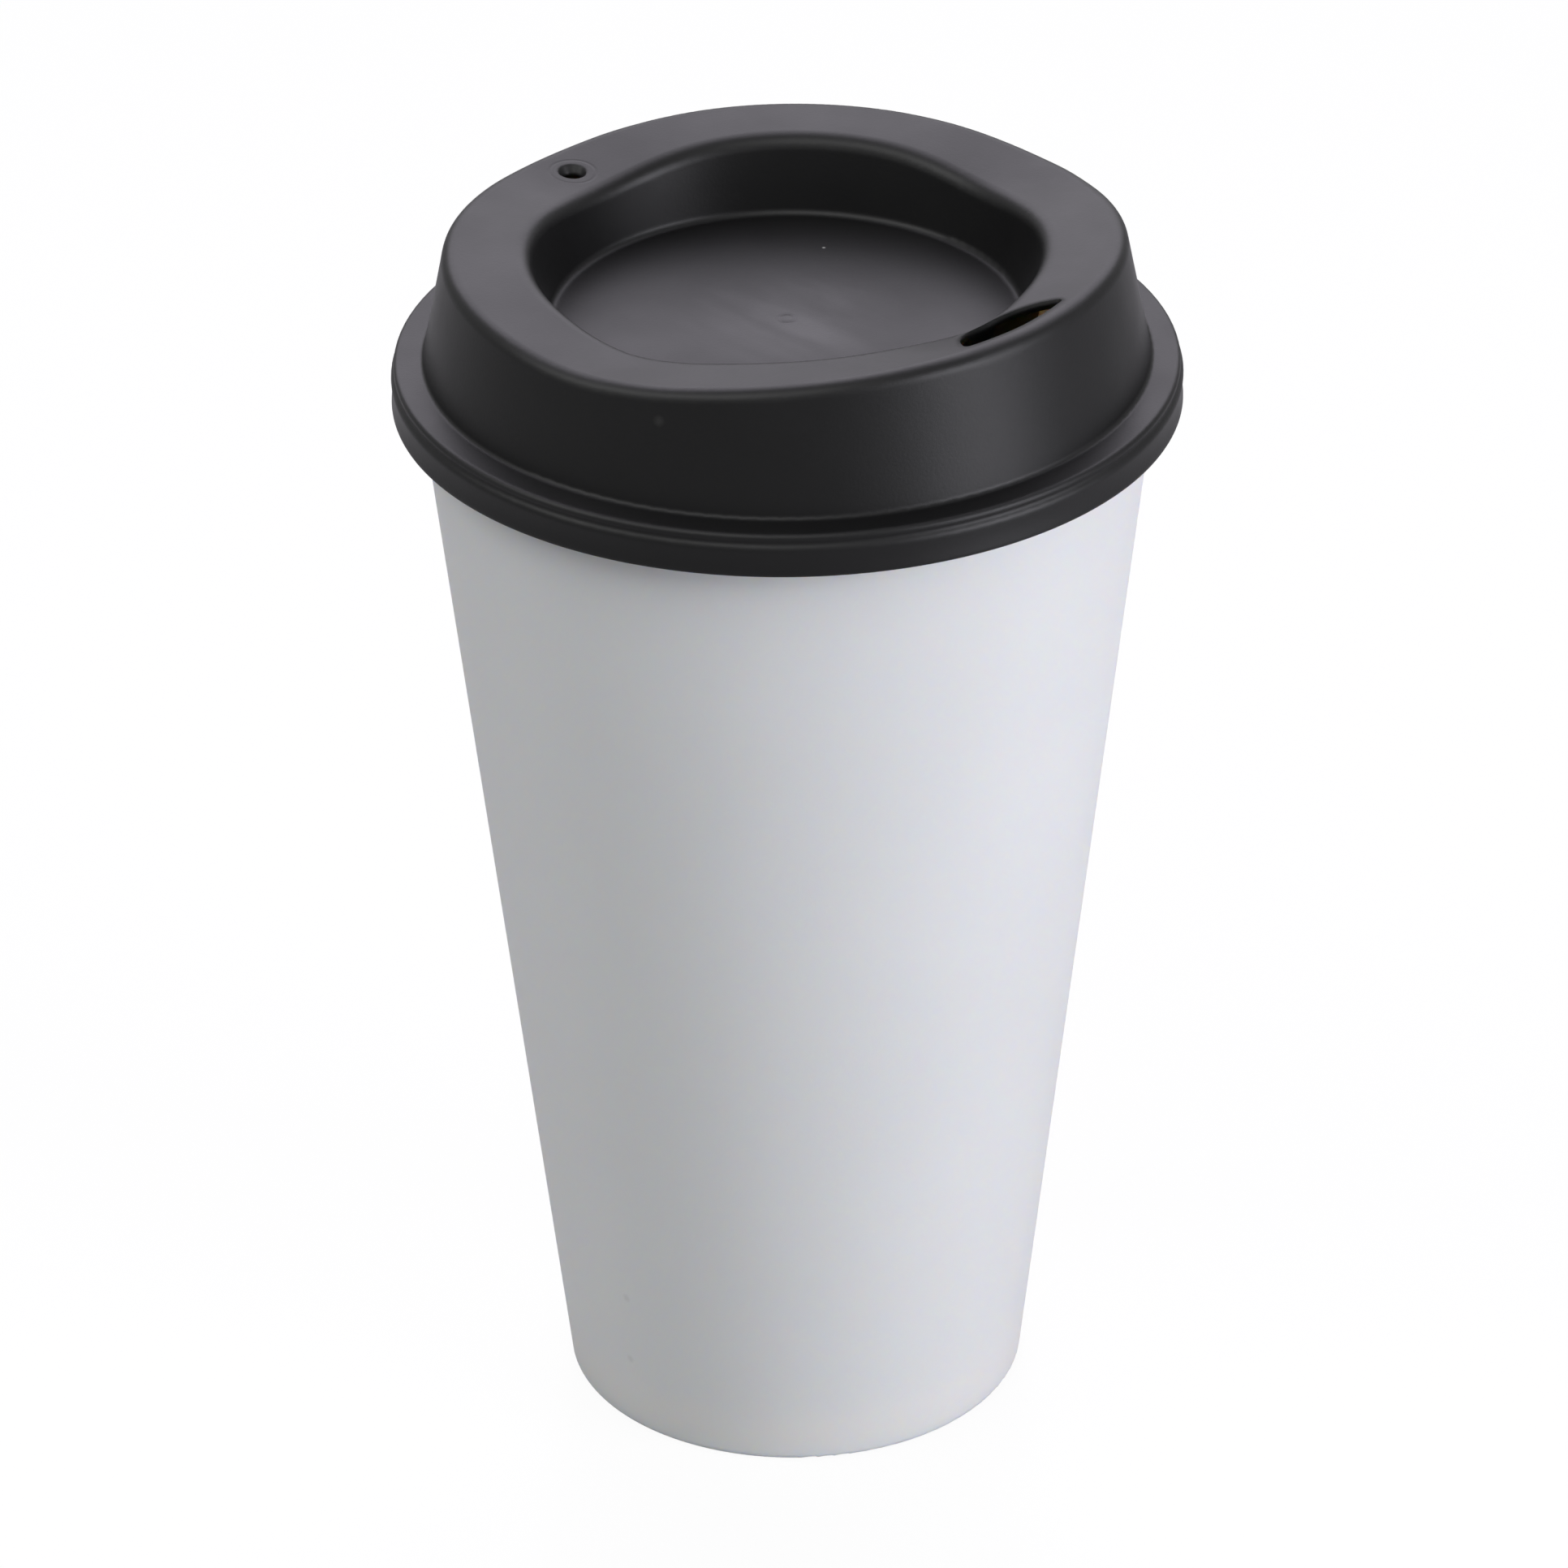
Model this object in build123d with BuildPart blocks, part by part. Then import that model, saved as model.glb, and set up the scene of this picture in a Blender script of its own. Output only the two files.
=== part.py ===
# Reusable takeaway coffee cup with its press-on lid, in millimetres.
# The origin is the centre of the foot, +Z is up and the sip slot lies towards +X.
import os
from math import atan2, cos, degrees, exp, hypot, sin

from build123d import *

# Cup
cup_height = 137.4            # foot to the top of the rim
foot_radius = 28.1            # outside of the wall where it meets the table
mouth_radius = 44.1           # outside of the wall carried up to the rim
cup_wall = 1.6
base_thickness = 2.0
base_recess = 4.0             # how far the base stands above the table
foot_ring = 2.4               # width of the ring that the cup stands on
foot_rounding = 0.8
floor_rounding = 3.0          # inside, where the wall meets the base
bead_radius = 1.45            # section of the round bead at the rim
bead_overhang = 1.25          # how far the bead stands out from the wall
bead_land = 0.9               # width of the flat on top of the bead that the lid seats on

# Fit of the lid on the cup
seat_gap = 0.1                # between the rim and the underside of the ledge
bead_clearance = 0.45         # between the bead and the inside of the skirt
snap_clearance = 0.2          # between the bead and the snap ring as the lid is lifted
lip_clearance = 0.25          # between the sealing lip and the inside of the cup

# Lid, lower half
lid_wall = 1.1
skirt_wall = 1.25
skirt_height = 5.5            # bottom edge to the ledge
skirt_hollow = 0.15           # how far the side of the skirt is hollowed
skirt_rounding = 0.3          # bottom edge
shoulder_drop = 1.85          # ledge down to the shoulder under the grip groove
shoulder_rounding = 0.7
groove_depth = 0.6
groove_rise = 0.5             # shoulder up to the root of the groove
groove_rounding = 0.42        # root of the groove
ledge_fall = 0.3              # foot of the dome down to the edge of the ledge
ledge_setback = 0.05          # edge of the ledge before it is rounded, inside the skirt
ledge_rounding = 0.55         # edge of the ledge
ledge_width = 3.85            # skirt to the foot of the dome
snap_rise = 1.0               # bottom edge up to the snap ring
snap_half_height = 0.6
lip_recess = 0.3              # end of the sealing lip above the bottom edge of the skirt
lip_wall = 1.0

# Lid, dome and rim
dome_slope = 0.2              # lean of the dome wall, run over rise
dome_foot_rounding = 0.4
rim_height = 13.95            # ledge to the level parts of the rim
sip_rise = 2.85               # extra height of the outer edge at the sip slot
sip_rise_inner = 0.7          # the same at the edge of the well
sip_spread = 54.0             # degrees over which the sip side falls away
slot_dip_inner = 1.2          # depth of the hollow at the slot, at the edge of the well only
slot_dip_spread = 16.0        # degrees
side_dip = 0.95               # depth of the hollow on either side, at the outer edge
side_dip_inner = 1.7          # the same at the edge of the well
side_dip_turn = 82.0          # degrees from the slot
side_dip_spread = 21.0        # degrees
vent_dip = 1.1                # depth of the hollow at the vent, at the outer edge
vent_dip_inner = 2.1          # the same at the edge of the well
vent_dip_spread = 24.0        # degrees
wave_start = 12.0             # radius inside which the rise and the hollows fade out
rim_rounding = 1.6            # outer edge of the rim
rim_inner_rounding = 2.0      # edge of the well

# Lid, well
rim_width = 10.11             # edge of the dome to the edge of the well, at the level of the rim
well_depth = 9.55             # level parts of the rim down to the floor
well_slope = 0.22             # lean of the well's wall, run over rise
well_floor_rounding = 0.9

# Lid, openings
slot_setback = 2.65           # edge of the dome to the outer edge of the slot
slot_length = 17.3            # along the outer edge
slot_lip = 0.6                # edge of the well to the nearest part of the slot
slot_rounding = 0.6           # the two tips
vent_setback = 5.31           # edge of the dome to the middle of the vent, at the level of the rim
vent_top_diameter = 3.5
vent_bottom_diameter = 2.1

# How closely the wavy face of the rim is followed
wave_steps = 24
wave_tolerance = 0.02

# Worked out from the sizes above
cup_slope = (mouth_radius - foot_radius) / cup_height
bead_outer = mouth_radius + bead_overhang
bead_middle_radius = bead_outer - bead_radius
bead_middle = cup_height - bead_radius
floor_level = base_recess + base_thickness
ledge_under = cup_height + seat_gap
ledge_top = ledge_under + lid_wall
skirt_bottom = ledge_top - skirt_height
skirt_inner = bead_outer + bead_clearance
skirt_radius = skirt_inner + skirt_wall
dome_foot = skirt_radius - ledge_width
rim_level = ledge_top + rim_height
rim_radius = dome_foot - dome_slope * rim_height
well_floor = rim_level - well_depth
well_radius = rim_radius - rim_width
well_floor_radius = well_radius - well_slope * well_depth
vent_radius = rim_radius - vent_setback
lip_bottom = skirt_bottom + lip_recess
above_lid = rim_level + 2 * (sip_rise + rim_rounding)


def cup_outside(height):
    """Outer radius of the cup's wall at a height."""
    return foot_radius + cup_slope * height


def dome_outside(height):
    """Outer radius of the dome's wall at a height."""
    return dome_foot - dome_slope * (height - ledge_top)


def well_side(height):
    """Radius of the well's wall at a height."""
    return well_radius + well_slope * (height - rim_level)


def hump(turn, spread):
    """Smooth hump, one at the middle, fading over the spread in degrees."""
    return exp(-((turn / spread) ** 2))


def rim_top(x, y):
    """Height of the rim's upper face over a point of the plan."""
    reach = hypot(x, y)
    turn = abs(degrees(atan2(y, x)))
    inward = (rim_radius - reach) / (rim_radius - well_radius)
    rise = sip_rise + inward * (sip_rise_inner - sip_rise)
    side = side_dip + inward * (side_dip_inner - side_dip)
    back = vent_dip + inward * (vent_dip_inner - vent_dip)
    wave = rise * hump(turn, sip_spread)
    wave -= inward * slot_dip_inner * hump(turn, slot_dip_spread)
    wave -= side * hump(turn - side_dip_turn, side_dip_spread)
    wave -= back * hump(180 - turn, vent_dip_spread)
    fade = 1 - exp(-((reach / wave_start) ** 2))
    return rim_level + wave * fade


def rim_surface(lowered):
    """The wavy upper face of the rim, over the whole plan of the lid, lowered by a distance."""
    places = [skirt_radius * (2 * step / wave_steps - 1) for step in range(wave_steps + 1)]
    grid = [[(x, y, rim_top(x, y) - lowered) for y in places] for x in places]
    return Face.make_surface_from_array_of_points(grid, tol=wave_tolerance, min_deg=3, max_deg=3)


def on_circle(radius, turn):
    """Point at a radius and an angle in radians."""
    return (radius * cos(turn), radius * sin(turn))


# Cup: one turned profile, from the foot ring up the outside, over the bead and down the inside
with BuildPart() as cup:
    with BuildSketch(Plane.XZ):
        with BuildLine():
            bead_bottom = (cup_outside(bead_middle - bead_radius), bead_middle - bead_radius)
            land_outer = (bead_middle_radius + bead_land / 2, cup_height)
            land_inner = (bead_middle_radius - bead_land / 2, cup_height)
            inner_top = (cup_outside(bead_middle) - cup_wall, bead_middle)
            inner_foot = (cup_outside(floor_level) - cup_wall, floor_level)
            ring_inner = foot_radius - foot_ring
            Polyline(
                (0, base_recess), (ring_inner, base_recess), (ring_inner, 0), (foot_radius, 0), bead_bottom
            )
            ThreePointArc(bead_bottom, (bead_outer, bead_middle), land_outer)
            Line(land_outer, land_inner)
            Spline(land_inner, inner_top, tangents=[(-1, 0), (-cup_slope, -1)])
            FilletPolyline(inner_top, inner_foot, (0, floor_level), radius=floor_rounding)
            Line((0, floor_level), (0, base_recess))
        make_face()
    revolve(axis=Axis.Z)
    foot_edges = cup.edges().filter_by(GeomType.CIRCLE).group_by(Axis.Z)[0]
    fillet(foot_edges.sort_by(SortBy.LENGTH)[-1], foot_rounding)
cup.part.label = "cup"

# Cutting blocks: all that lies above the rim's wavy face, outside the lid and inside its wall
with BuildPart() as above_rim:
    extrude(rim_surface(0), amount=above_lid, dir=(0, 0, 1))

with BuildPart() as above_rim_inside:
    extrude(rim_surface(lid_wall), amount=above_lid, dir=(0, 0, 1))

# Hollow under the lid: the inside of the lip and the dome, with the well standing down into it
with BuildPart() as lid_hollow:
    with BuildSketch(Plane.XZ):
        lip_outer = cup_outside(lip_bottom) - cup_wall - lip_clearance
        lip_inner = lip_outer - lip_wall
        Polygon(
            (0, skirt_bottom),
            (lip_inner, skirt_bottom),
            (lip_inner, ledge_top),
            (dome_foot - lid_wall, ledge_top),
            (dome_outside(above_lid) - lid_wall, above_lid),
            (0, above_lid),
            align=None,
        )
    revolve(axis=Axis.Z)
    add(above_rim_inside.part, mode=Mode.SUBTRACT)
    with BuildSketch(Plane.XZ):
        Polygon(
            (0, well_floor - lid_wall),
            (well_floor_radius + lid_wall, well_floor - lid_wall),
            (well_side(above_lid) + lid_wall, above_lid),
            (0, above_lid),
            align=None,
        )
    revolve(axis=Axis.Z, mode=Mode.SUBTRACT)
    channel_roof = lid_hollow.faces().filter_by(GeomType.BSPLINE).sort_by(SortBy.AREA)[-1]
    fillet(channel_roof.outer_wire().edges(), rim_rounding - lid_wall)

# Lid: turned outside, then the rim's wave, the well, the hollow, the rim channel and the two openings
with BuildPart() as lid:
    with BuildSketch(Plane.XZ):
        with BuildLine():
            shoulder = ledge_top - shoulder_drop
            skirt_middle = (skirt_bottom + shoulder) / 2
            Line((0, skirt_bottom), (skirt_radius, skirt_bottom))
            ThreePointArc(
                (skirt_radius, skirt_bottom), (skirt_radius - skirt_hollow, skirt_middle), (skirt_radius, shoulder)
            )
            FilletPolyline(
                (skirt_radius, shoulder),
                (skirt_radius - groove_depth, shoulder + groove_rise),
                (skirt_radius - ledge_setback, ledge_top - ledge_fall),
                (dome_foot, ledge_top),
                (dome_outside(above_lid), above_lid),
                radius=[groove_rounding, ledge_rounding, dome_foot_rounding],
            )
            Polyline((dome_outside(above_lid), above_lid), (0, above_lid), (0, skirt_bottom))
        make_face()
    revolve(axis=Axis.Z)
    widest_edges = lid.edges().filter_by(GeomType.CIRCLE).group_by(SortBy.RADIUS)[-1]
    fillet(widest_edges.sort_by(Axis.Z)[0], skirt_rounding)
    widest_edges = lid.edges().filter_by(GeomType.CIRCLE).group_by(SortBy.RADIUS)[-1]
    fillet(widest_edges.sort_by(Axis.Z)[-1], shoulder_rounding)
    add(above_rim.part, mode=Mode.SUBTRACT)
    with BuildSketch(Plane.XZ):
        Polygon(
            (0, well_floor),
            (well_floor_radius, well_floor),
            (well_side(above_lid), above_lid),
            (0, above_lid),
            align=None,
        )
    revolve(axis=Axis.Z, mode=Mode.SUBTRACT)
    add(lid_hollow.part, mode=Mode.SUBTRACT)
    rim_face = lid.faces().filter_by(GeomType.BSPLINE).sort_by(Axis.Z)[-1]
    fillet(rim_face.outer_wire().edges(), rim_rounding)
    rim_face = lid.faces().filter_by(GeomType.BSPLINE).filter_by(lambda face: len(face.inner_wires()) > 0)
    fillet(rim_face.sort_by(Axis.Z)[-1].inner_wires()[0].edges(), rim_inner_rounding)
    floor_face = lid.faces().filter_by(GeomType.PLANE).sort_by(Axis.Z)[-1]
    fillet(floor_face.edges(), well_floor_rounding)
    with BuildSketch(Plane.XZ):
        with BuildLine():
            snap_level = skirt_bottom + snap_rise
            snap_low = (skirt_inner, snap_level - snap_half_height)
            snap_high = (skirt_inner, snap_level + snap_half_height)
            Polyline((lip_inner, skirt_bottom), (skirt_inner, skirt_bottom), snap_low)
            ThreePointArc(snap_low, (bead_outer + snap_clearance, snap_level), snap_high)
            Polyline(
                snap_high,
                (skirt_inner, ledge_under),
                (lip_outer, ledge_under),
                (lip_outer, lip_bottom),
                (lip_inner, lip_bottom),
                (lip_inner, skirt_bottom),
            )
        make_face()
    revolve(axis=Axis.Z, mode=Mode.SUBTRACT)
    with BuildSketch(Plane.XY.offset(above_lid)) as slot_outline:
        with BuildLine():
            slot_outer = dome_outside(rim_level + sip_rise) - slot_setback
            slot_turn = slot_length / slot_outer / 2
            slot_start = on_circle(slot_outer, -slot_turn)
            slot_end = on_circle(slot_outer, slot_turn)
            ThreePointArc(slot_start, (slot_outer, 0), slot_end)
            ThreePointArc(slot_end, (well_radius + slot_lip, 0), slot_start)
        make_face()
        fillet(slot_outline.vertices(), slot_rounding)
    extrude(amount=well_floor - above_lid, mode=Mode.SUBTRACT)
    vent_margin = lid_wall / 2
    vent_slope = (vent_top_diameter - vent_bottom_diameter) / 2 / lid_wall
    vent_middle = rim_top(-vent_radius, 0) - lid_wall / 2
    with Locations((-vent_radius, 0, vent_middle)):
        Cone(
            vent_bottom_diameter / 2 - vent_slope * vent_margin,
            vent_top_diameter / 2 + vent_slope * vent_margin,
            lid_wall + 2 * vent_margin,
            mode=Mode.SUBTRACT,
        )
lid.part.label = "lid"

os.makedirs("parts", exist_ok=True)
export_step(cup.part, "parts/cup.step")
export_step(lid.part, "parts/lid.step")
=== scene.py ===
from math import cos, radians, sin

import bpy
from mathutils import Matrix, Vector

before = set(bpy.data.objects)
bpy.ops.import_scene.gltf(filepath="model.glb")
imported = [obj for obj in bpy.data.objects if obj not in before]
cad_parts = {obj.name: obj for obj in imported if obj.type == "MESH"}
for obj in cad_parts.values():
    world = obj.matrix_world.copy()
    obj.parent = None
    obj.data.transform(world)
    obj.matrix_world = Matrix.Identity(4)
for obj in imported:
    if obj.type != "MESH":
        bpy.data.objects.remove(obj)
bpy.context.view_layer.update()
bpy.ops.object.select_all(action="DESELECT")

# Camera, measured from the photograph's outlines; it stands at a turn about the cup from -Y
camera_turn = radians(43.3)
camera_reach = 0.9554
camera_height = 0.6152
camera_down = 0.51078
camera_pan = -0.00089
camera_roll = -0.00964956
camera_lens = 206.55
sensor_width = 36.0

# The lid's dome, in metres
dome_foot = 0.0432
dome_slope = 0.2
ledge_top = 0.1386

# Places on the lid and the cup that carry a mark, in metres
vent_place = (-0.0351, 0.0, 0.151)
gate_place = (0.0, 0.0, 0.143)
slot_place = (0.0345, 0.0, 0.153)
floor_speck = (-0.0097, 0.0169, 0.143)
dome_scuff = (0.0156, -0.0380, 0.149)
cup_scuffs = ((0.0001, -0.0304, 0.0201), (-0.0005, -0.0293, 0.0104))

# Both plastics
plastic_ior = 1.49
grain_height = 0.00001

# Black plastic of the lid
lid_dark = (0.0030, 0.0030, 0.0032)
lid_light = (0.0040, 0.0040, 0.0043)
lid_dust = (0.32, 0.32, 0.31)
lid_sheen = 0.33
lid_smooth = 0.40
lid_rough = 0.45
lid_grain = 2600.0
flow_gloss = 0.10
vent_ring_radius = 0.0028
gate_ring_radius = 0.0010
ring_depth = 0.00004
edge_softness = 0.0006
slot_softness = 0.0013

# Pale plastic of the cup
cup_dark = (0.765, 0.765, 0.750)
cup_light = (0.800, 0.800, 0.788)
cup_dust = (0.42, 0.41, 0.39)
cup_smooth = 0.50
cup_rough = 0.60
cup_grain = 2200.0
cup_depth = 0.7
cup_depth_scale = 0.004
cup_depth_radius = (1.0, 0.72, 0.42)

# Studio: the floor's shade to light and to the camera, and how white it and the room look
floor_size = 12.0
floor_drop = 0.0001
floor_roughness = 0.3
floor_shade = (0.50, 0.50, 0.50)
floor_seen_shade = (0.95, 0.95, 0.95)
floor_white = 0.93
floor_mirrored = 0.06
room_light = 0.03
room_white = 1.0
room_mirrored = 0.55
aim_height = 0.10

# Lamps: turn to the right of the camera in degrees, reach, height and size in metres, power in watts, colour
key_lamp = ("key_softbox", 60.0, 0.9, 0.33, 0.50, 6.3, (1.0, 0.99, 1.07))
back_lamp = ("back_softbox", 180.0, 1.1, 1.15, 1.7, 17.0, (1.0, 0.95, 1.08))
left_lamp = ("left_softbox", -75.0, 0.9, 0.95, 0.7, 4.7, (1.0, 1.0, 1.0))
front_lamp = ("front_softbox", -15.0, 0.7, 1.1, 0.8, 4.8, (1.0, 1.0, 1.0))


def node_setup(name):
    """A new material with its node tree, emptied."""
    material = bpy.data.materials.new(name)
    material.use_nodes = True
    material.node_tree.nodes.clear()
    return material, material.node_tree.nodes, material.node_tree.links


def ramp(nodes, links, source, low, high, low_value, high_value):
    """A linear step from one value to another, as its source goes from low to high."""
    step = nodes.new("ShaderNodeMapRange")
    step.inputs["From Min"].default_value = low
    step.inputs["From Max"].default_value = high
    step.inputs["To Min"].default_value = low_value
    step.inputs["To Max"].default_value = high_value
    links.new(source, step.inputs["Value"])
    return step.outputs["Result"]


def math(nodes, links, operation, first, second=0.0):
    """A sum, a product or the like of two sockets or numbers; some need only the first."""
    node = nodes.new("ShaderNodeMath")
    node.operation = operation
    for socket, value in zip(node.inputs, (first, second)):
        if isinstance(value, (int, float)):
            socket.default_value = value
        else:
            links.new(value, socket)
    return node.outputs[0]


def noise(nodes, links, place, scale, detail, roughness):
    """Soft noise over the object, its scale in cells a metre."""
    node = nodes.new("ShaderNodeTexNoise")
    node.inputs["Scale"].default_value = scale
    node.inputs["Detail"].default_value = detail
    node.inputs["Roughness"].default_value = roughness
    links.new(place, node.inputs["Vector"])
    return node.outputs["Fac"]


def specks(nodes, links, place, scale, size, kept):
    """Small round specks, one in some of the cells; one inside a speck and nought outside."""
    cells = nodes.new("ShaderNodeTexVoronoi")
    cells.inputs["Scale"].default_value = scale
    links.new(place, cells.inputs["Vector"])
    dot = ramp(nodes, links, cells.outputs["Distance"], size * 0.6, size, 1.0, 0.0)
    pick = nodes.new("ShaderNodeSeparateColor")
    links.new(cells.outputs["Color"], pick.inputs["Color"])
    chosen = math(nodes, links, "LESS_THAN", pick.outputs["Red"], kept)
    return math(nodes, links, "MULTIPLY", dot, chosen)


def distance_from(nodes, links, place, centre):
    """Distance of the shaded point from a place on the object."""
    node = nodes.new("ShaderNodeVectorMath")
    node.operation = "DISTANCE"
    links.new(place, node.inputs[0])
    node.inputs[1].default_value = centre
    return node.outputs["Value"]


def spot(nodes, links, place, centre, core, edge, strength):
    """A round mark at a place, full inside its core and gone at its edge."""
    return ramp(nodes, links, distance_from(nodes, links, place, centre), core, edge, strength, 0.0)


def ring(nodes, links, distance, radius, width):
    """A round groove at a radius: nought on its line and one beside it."""
    off_line = math(nodes, links, "ABSOLUTE", math(nodes, links, "SUBTRACT", distance, radius))
    return ramp(nodes, links, off_line, 0.0, width, 0.0, 1.0)


def vector(nodes, links, operation, first, second=None):
    """A vector worked out from one or two others."""
    node = nodes.new("ShaderNodeVectorMath")
    node.operation = operation
    links.new(first, node.inputs[0])
    if second is not None:
        links.new(second, node.inputs["Scale" if operation == "SCALE" else 1])
    return node.outputs["Value" if operation in ("DOT_PRODUCT", "LENGTH") else "Vector"]


def split(nodes, links, source):
    """The three parts of a vector."""
    node = nodes.new("ShaderNodeSeparateXYZ")
    links.new(source, node.inputs["Vector"])
    return node.outputs["X"], node.outputs["Y"], node.outputs["Z"]


def join(nodes, links, **parts):
    """A vector of the parts given, the others nought."""
    node = nodes.new("ShaderNodeCombineXYZ")
    for name, source in parts.items():
        links.new(source, node.inputs[name])
    return node.outputs["Vector"]


def turned_normal(nodes, links, place, normal):
    """The normal of a turned face, with the facets' tilt but facing straight from the axis."""
    x, y, z = split(nodes, links, place)
    outward = vector(nodes, links, "NORMALIZE", join(nodes, links, X=x, Y=y))
    tilt = split(nodes, links, normal)[2]
    side = math(nodes, links, "SIGN", vector(nodes, links, "DOT_PRODUCT", normal, outward))
    run = math(nodes, links, "SUBTRACT", 1.0, math(nodes, links, "MULTIPLY", tilt, tilt))
    run = math(nodes, links, "SQRT", math(nodes, links, "MAXIMUM", run, 0.0))
    level = vector(nodes, links, "SCALE", outward, math(nodes, links, "MULTIPLY", run, side))
    return vector(nodes, links, "ADD", level, join(nodes, links, Z=tilt))


def bump(nodes, links, height, distance, normal):
    """A bump of a height in metres, on top of another normal."""
    node = nodes.new("ShaderNodeBump")
    node.inputs["Strength"].default_value = 1.0
    node.inputs["Distance"].default_value = distance
    links.new(height, node.inputs["Height"])
    links.new(normal, node.inputs["Normal"])
    return node.outputs["Normal"]


def tint(nodes, links, amount, first, second):
    """A colour between two, by an amount from nought to one; the first may be a socket."""
    node = nodes.new("ShaderNodeMix")
    node.data_type = "RGBA"
    if isinstance(first, tuple):
        node.inputs["A"].default_value = (*first, 1.0)
    else:
        links.new(first, node.inputs["A"])
    node.inputs["B"].default_value = (*second, 1.0)
    links.new(amount, node.inputs["Factor"])
    return node.outputs["Result"]


def plastic_base(name):
    """A material with one plastic shader, and the place of the shaded point on the object."""
    material, nodes, links = node_setup(name)
    place = nodes.new("ShaderNodeTexCoord").outputs["Object"]
    shader = nodes.new("ShaderNodeBsdfPrincipled")
    shader.inputs["IOR"].default_value = plastic_ior
    output = nodes.new("ShaderNodeOutputMaterial")
    links.new(shader.outputs["BSDF"], output.inputs["Surface"])
    return material, nodes, links, place, shader


def lid_normal(nodes, links, place):
    """The lid's soft-edged normal, which faces straight from the axis on the dome and the skirt."""
    soft_edges = nodes.new("ShaderNodeBevel")
    soft_edges.samples = 6
    from_slot = distance_from(nodes, links, place, slot_place)
    softness = ramp(nodes, links, from_slot, 0.009, 0.012, slot_softness, edge_softness)
    links.new(softness, soft_edges.inputs["Radius"])
    turned = turned_normal(nodes, links, place, soft_edges.outputs["Normal"])
    x, y, height = split(nodes, links, place)
    reach = vector(nodes, links, "LENGTH", join(nodes, links, X=x, Y=y))
    rise = 0.02
    dome = ramp(nodes, links, height, ledge_top, ledge_top + rise, dome_foot, dome_foot - rise * dome_slope)
    off_dome = math(nodes, links, "SUBTRACT", reach, dome)
    facing = nodes.new("ShaderNodeMix")
    facing.data_type = "VECTOR"
    links.new(ramp(nodes, links, off_dome, -0.0006, -0.0002, 0.0, 1.0), facing.inputs["Factor"])
    links.new(soft_edges.outputs["Normal"], facing.inputs[4])
    links.new(turned, facing.inputs[5])
    return facing.outputs[1]


def black_lid_finish():
    """Black satin plastic: fine grain, flow marks round the gate, the vent's witness ring, a few specks."""
    material, nodes, links, place, shader = plastic_base("black_satin_plastic")
    shader.inputs["Specular IOR Level"].default_value = lid_sheen

    # Colour, with specks of dust, one fleck on the well's floor and a faint scuff on the dome
    cloud = noise(nodes, links, place, 90.0, 4.0, 0.55)
    dust = specks(nodes, links, place, 70.0, 0.012, 0.10)
    fleck = spot(nodes, links, place, floor_speck, 0.00012, 0.00025, 1.0)
    scuff = spot(nodes, links, place, dome_scuff, 0.0002, 0.0008, 0.05)
    dust = math(nodes, links, "MAXIMUM", math(nodes, links, "MAXIMUM", dust, fleck), scuff)
    base = tint(nodes, links, cloud, lid_dark, lid_light)
    links.new(tint(nodes, links, dust, base, lid_dust), shader.inputs["Base Color"])

    # Gloss, with streaks that run out from the gate
    from_gate = distance_from(nodes, links, place, gate_place)
    near_gate = ramp(nodes, links, from_gate, 0.004, 0.022, 1.0, 0.0)
    stretched = nodes.new("ShaderNodeMapping")
    stretched.inputs["Scale"].default_value = (60.0, 260.0, 60.0)
    stretched.inputs["Rotation"].default_value = (0.0, 0.0, radians(20.0))
    links.new(place, stretched.inputs["Vector"])
    streak = noise(nodes, links, stretched.outputs["Vector"], 1.0, 3.0, 0.5)
    flow = math(nodes, links, "MULTIPLY", near_gate, streak)
    worn = ramp(nodes, links, cloud, 0.3, 0.7, lid_smooth, lid_rough)
    softer = ramp(nodes, links, flow, 0.25, 0.65, 0.0, -flow_gloss)
    links.new(math(nodes, links, "ADD", worn, softer), shader.inputs["Roughness"])

    # Relief: grain all over, then the rings round the vent and the gate
    grain = noise(nodes, links, place, lid_grain, 2.0, 0.6)
    grained = bump(nodes, links, grain, grain_height, lid_normal(nodes, links, place))
    from_vent = distance_from(nodes, links, place, vent_place)
    vent_ring = ring(nodes, links, from_vent, vent_ring_radius, 0.0003)
    ringed = bump(nodes, links, vent_ring, ring_depth, grained)
    gate_ring = ring(nodes, links, from_gate, gate_ring_radius, 0.0004)
    links.new(bump(nodes, links, gate_ring, ring_depth, ringed), shader.inputs["Normal"])
    return material


def pale_cup_finish():
    """Pale, slightly see-through plastic with a fine matt grain, a faint cloudiness, scuffs and specks."""
    material, nodes, links, place, shader = plastic_base("pale_matt_plastic")
    shader.inputs["Subsurface Weight"].default_value = cup_depth
    shader.inputs["Subsurface Radius"].default_value = cup_depth_radius
    shader.inputs["Subsurface Scale"].default_value = cup_depth_scale

    cloud = noise(nodes, links, place, 28.0, 3.0, 0.5)
    dust = specks(nodes, links, place, 75.0, 0.014, 0.08)
    for scuff_place in cup_scuffs:
        scuff = spot(nodes, links, place, scuff_place, 0.0002, 0.0007, 0.22)
        dust = math(nodes, links, "MAXIMUM", dust, scuff)
    base = tint(nodes, links, cloud, cup_dark, cup_light)
    links.new(tint(nodes, links, dust, base, cup_dust), shader.inputs["Base Color"])
    links.new(ramp(nodes, links, cloud, 0.3, 0.7, cup_smooth, cup_rough), shader.inputs["Roughness"])

    facets = nodes.new("ShaderNodeNewGeometry").outputs["Normal"]
    turned = turned_normal(nodes, links, place, facets)
    grain = noise(nodes, links, place, cup_grain, 2.0, 0.6)
    links.new(bump(nodes, links, grain, grain_height, turned), shader.inputs["Normal"])
    return material


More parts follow.
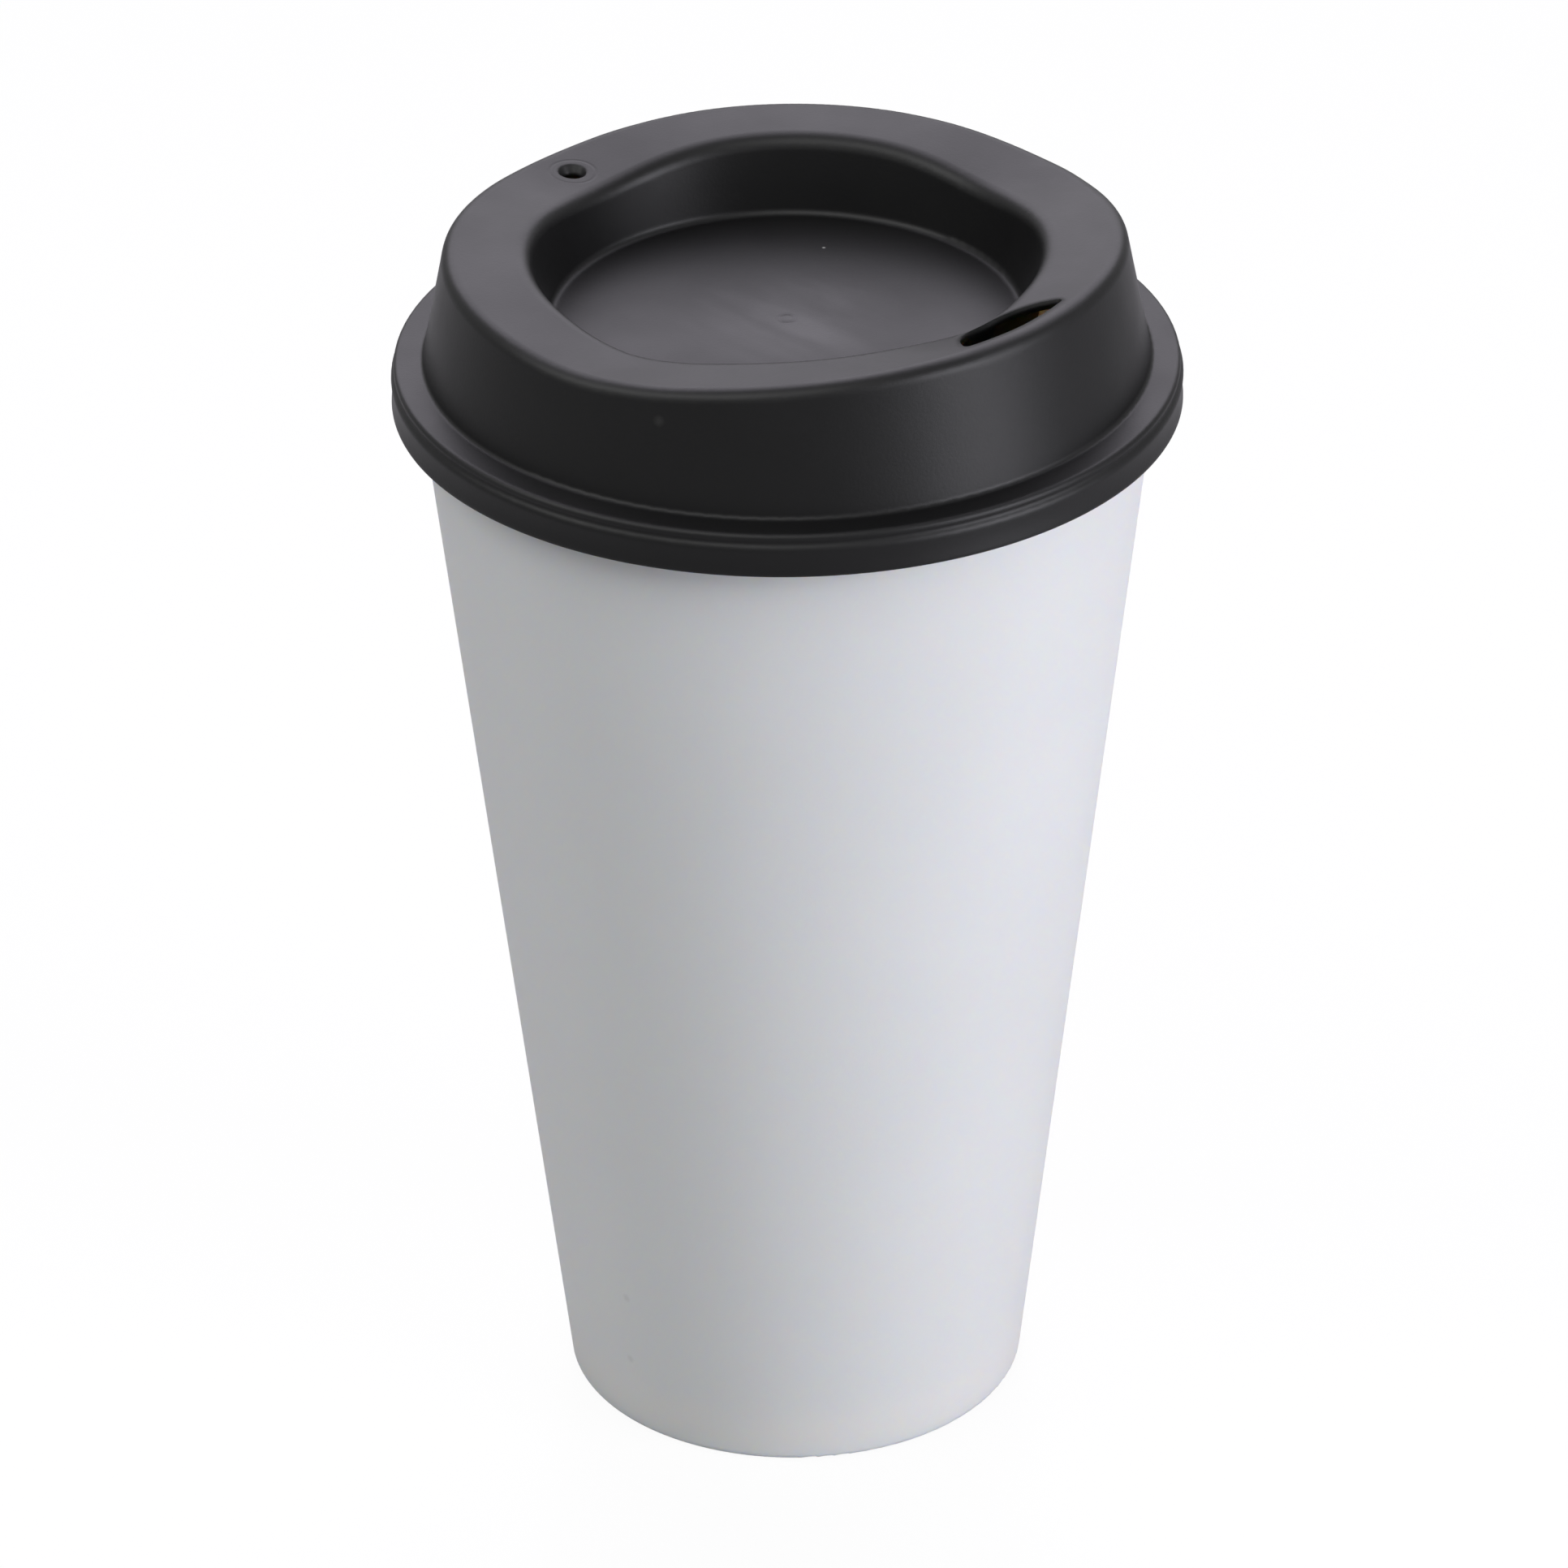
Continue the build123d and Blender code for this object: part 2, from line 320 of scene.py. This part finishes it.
def seen_white(nodes, links, path, white, mirrored):
    """How white a background looks: one share to the camera, another in reflections and through glass."""
    direct = math(nodes, links, "MULTIPLY", path.outputs["Is Camera Ray"], white)
    glossy = path.outputs["Is Glossy Ray"]
    reflected = math(nodes, links, "MAXIMUM", glossy, path.outputs["Is Transmission Ray"])
    return math(nodes, links, "ADD", direct, math(nodes, links, "MULTIPLY", reflected, mirrored))


def floor_finish():
    """Pale satin floor that the camera sees as white, with the cup's soft shadow on it."""
    material, nodes, links = node_setup("pale_floor")
    surface = nodes.new("ShaderNodeBsdfPrincipled")
    surface.inputs["Roughness"].default_value = floor_roughness
    glow = nodes.new("ShaderNodeEmission")
    glow.inputs["Strength"].default_value = 1.0
    path = nodes.new("ShaderNodeLightPath")
    shade = tint(nodes, links, path.outputs["Is Camera Ray"], floor_shade, floor_seen_shade)
    links.new(shade, surface.inputs["Base Color"])
    mix = nodes.new("ShaderNodeMixShader")
    links.new(seen_white(nodes, links, path, floor_white, floor_mirrored), mix.inputs["Fac"])
    links.new(surface.outputs["BSDF"], mix.inputs[1])
    links.new(glow.outputs["Emission"], mix.inputs[2])
    output = nodes.new("ShaderNodeOutputMaterial")
    links.new(mix.outputs["Shader"], output.inputs["Surface"])
    return material


def studio_floor():
    """A wide flat floor just under the foot."""
    bpy.ops.mesh.primitive_plane_add(size=floor_size, location=(0.0, 0.0, -floor_drop))
    floor = bpy.context.object
    floor.name = "studio_floor"
    bpy.ops.object.transform_apply(location=True, rotation=True, scale=True)
    floor.data.materials.append(floor_finish())
    floor.select_set(False)


def around(turn, reach, height):
    """A place at a turn to the right of the camera, seen from the cup, at a reach and a height in metres."""
    angle = camera_turn + radians(turn)
    return Vector((reach * sin(angle), -reach * cos(angle), height))


def softbox(name, turn, reach, height, size, power, colour):
    """A square area lamp that faces the cup."""
    lamp = bpy.data.lights.new(name, "AREA")
    lamp.shape = "SQUARE"
    lamp.size = size
    lamp.energy = power
    lamp.color = colour
    holder = bpy.data.objects.new(name, lamp)
    bpy.context.collection.objects.link(holder)
    holder.location = around(turn, reach, height)
    aim = Vector((0.0, 0.0, aim_height)) - holder.location
    holder.rotation_euler = aim.to_track_quat("-Z", "Y").to_euler()


def studio_world():
    """Soft surrounding light, white to the camera and pale in reflections."""
    world = bpy.data.worlds.new("studio_world")
    bpy.context.scene.world = world
    world.use_nodes = True
    nodes = world.node_tree.nodes
    links = world.node_tree.links
    nodes.clear()
    path = nodes.new("ShaderNodeLightPath")
    ambient = nodes.new("ShaderNodeBackground")
    ambient.inputs["Strength"].default_value = room_light
    white = nodes.new("ShaderNodeBackground")
    white.inputs["Strength"].default_value = room_white
    mix = nodes.new("ShaderNodeMixShader")
    links.new(seen_white(nodes, links, path, 1.0, room_mirrored), mix.inputs["Fac"])
    links.new(ambient.outputs["Background"], mix.inputs[1])
    links.new(white.outputs["Background"], mix.inputs[2])
    output = nodes.new("ShaderNodeOutputWorld")
    links.new(mix.outputs["Shader"], output.inputs["Surface"])


def photo_camera():
    """The camera at the photograph's viewing angle."""
    data = bpy.data.cameras.new("photo_camera")
    data.lens = camera_lens
    data.sensor_width = sensor_width
    camera = bpy.data.objects.new("photo_camera", data)
    bpy.context.collection.objects.link(camera)
    level = cos(camera_down)
    forward = Vector((sin(camera_pan) * level, cos(camera_pan) * level, -sin(camera_down)))
    right = Vector((cos(camera_pan), -sin(camera_pan), 0.0))
    up = right.cross(forward)
    rolled_right = cos(camera_roll) * right + sin(camera_roll) * up
    rolled_up = cos(camera_roll) * up - sin(camera_roll) * right
    facing = Matrix((rolled_right, rolled_up, -forward)).transposed()
    turned = Matrix.Rotation(camera_turn, 3, "Z") @ facing
    camera.location = around(0.0, camera_reach, camera_height)
    camera.rotation_euler = turned.to_euler()
    bpy.context.scene.camera = camera


def dress(node, finish):
    """Puts a finish on a CAD node."""
    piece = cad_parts[node]
    for slot in piece.material_slots:
        slot.material = finish


dress("cup", pale_cup_finish())
dress("lid", black_lid_finish())
studio_floor()
studio_world()
for lamp_values in (key_lamp, back_lamp, left_lamp, front_lamp):
    softbox(*lamp_values)
photo_camera()
bpy.context.scene.view_settings.view_transform = "Standard"
